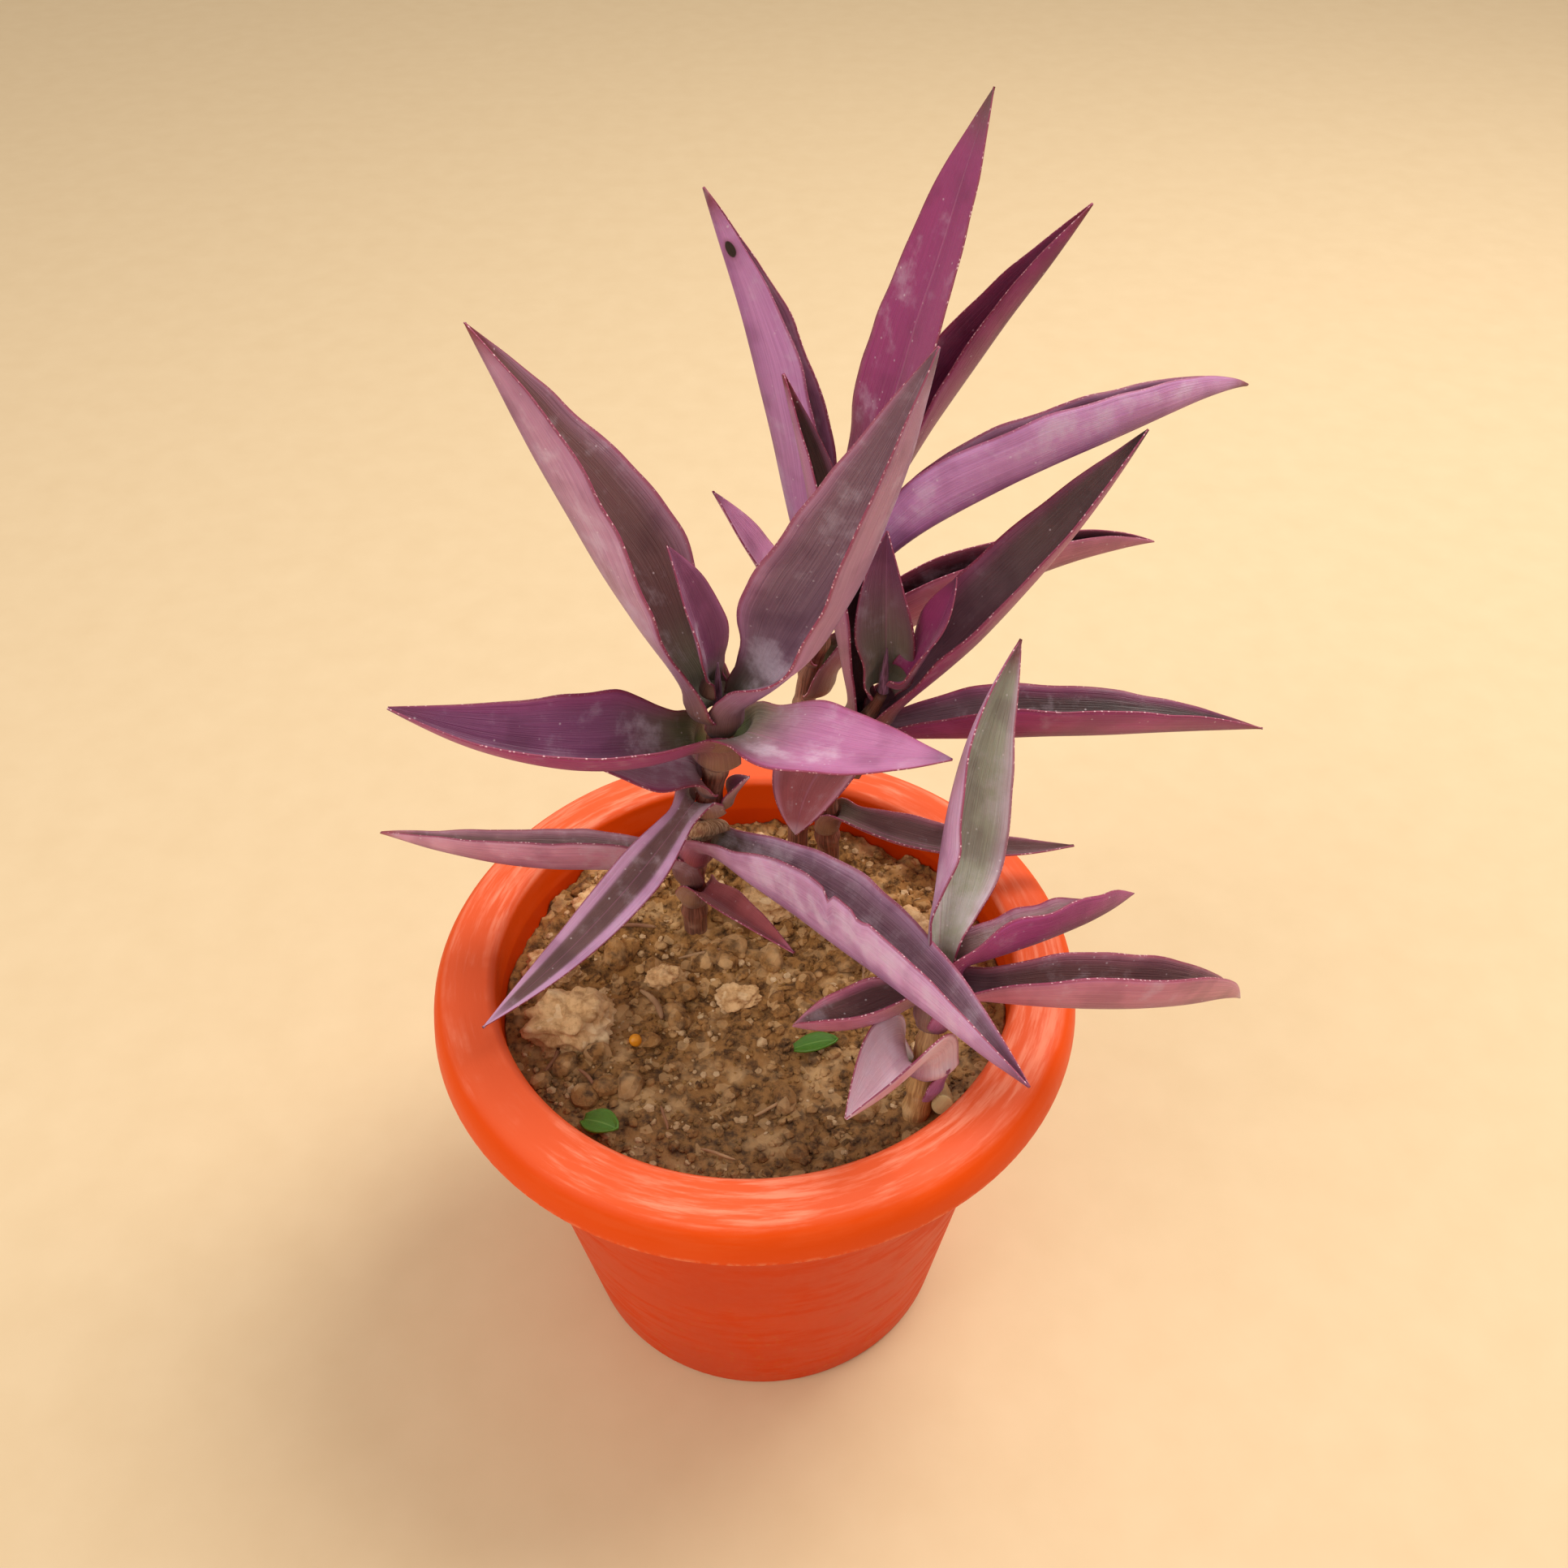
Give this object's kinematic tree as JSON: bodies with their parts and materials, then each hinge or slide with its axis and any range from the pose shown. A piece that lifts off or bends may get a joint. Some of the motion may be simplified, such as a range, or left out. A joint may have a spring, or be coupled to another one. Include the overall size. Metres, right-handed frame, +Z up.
{
  "type": "potted tradescantia",
  "caption": "Potted tradescantia with pointed, folded purple leaves clasping jointed stems, in an orange round plastic nursery pot with a rolled rim and lumpy soil.",
  "frame": {"origin": "middle of the pot's flat base, where it rests", "axes": "+X to the right and +Y away from the viewer as the plant is seen, +Z up along the pot's axis"},
  "size_m": [0.2048, 0.152, 0.2916],
  "materials": {
    "orange_plastic": "satin moulded orange plastic, scuffed and dusty on the rim",
    "potting_soil": "loose brown potting soil, matt and lumpy, darker where damp",
    "dry_clod": "dry tan clod of earth, matt",
    "orange_grain": "small orange grain, matt",
    "weed_leaf": "soft green seedling leaf",
    "dried_leaf": "dry papery brown leaf",
    "stem_tan": "tan jointed stem, slightly glossy",
    "stem_brown": "reddish brown jointed stem",
    "leaf_purple": "fleshy leaf, dark greyish purple above and vivid purple below, with a whitish bloom and fine crimson margins"
  },
  "bodies": {
    "root": {"clod": "dry_clod", "cutting_stub": "stem_tan", "dried_bract": "dried_leaf", "dried_sheath": "dried_leaf", "growing_tip_a": "leaf_purple", "growing_tip_b": "leaf_purple", "growing_tip_c": "leaf_purple", "growing_tip_s": "leaf_purple", "leaf_a1": "leaf_purple", "leaf_a2": "leaf_purple", "leaf_a3": "leaf_purple", "leaf_a4": "leaf_purple", "leaf_a5": "leaf_purple", "leaf_a6": "leaf_purple", "leaf_a7": "leaf_purple", "leaf_b1": "leaf_purple", "leaf_b2": "leaf_purple", "leaf_b3": "leaf_purple", "leaf_b4": "leaf_purple", "leaf_b5": "leaf_purple", "leaf_b6": "leaf_purple", "leaf_b7": "leaf_purple", "leaf_c1": "leaf_purple", "leaf_c2": "leaf_purple", "leaf_c3": "leaf_purple", "leaf_c4": "leaf_purple", "leaf_c6": "leaf_purple", "leaf_d": "leaf_purple", "leaf_e": "leaf_purple", "leaf_f": "leaf_purple", "leaf_h": "leaf_purple", "leaf_s1": "leaf_purple", "leaf_s2": "leaf_purple", "leaf_s3": "leaf_purple", "leaf_s4": "leaf_purple", "leaf_s5": "leaf_purple", "perlite_grain": "orange_grain", "pot": "orange_plastic", "seedling_left": "weed_leaf", "seedling_middle": "weed_leaf", "side_bud": "leaf_purple", "soil": "potting_soil", "stem_a": "stem_brown", "stem_b": "stem_brown", "stem_c": "stem_brown", "stem_s": "stem_tan"}
  },
  "joints": []
}
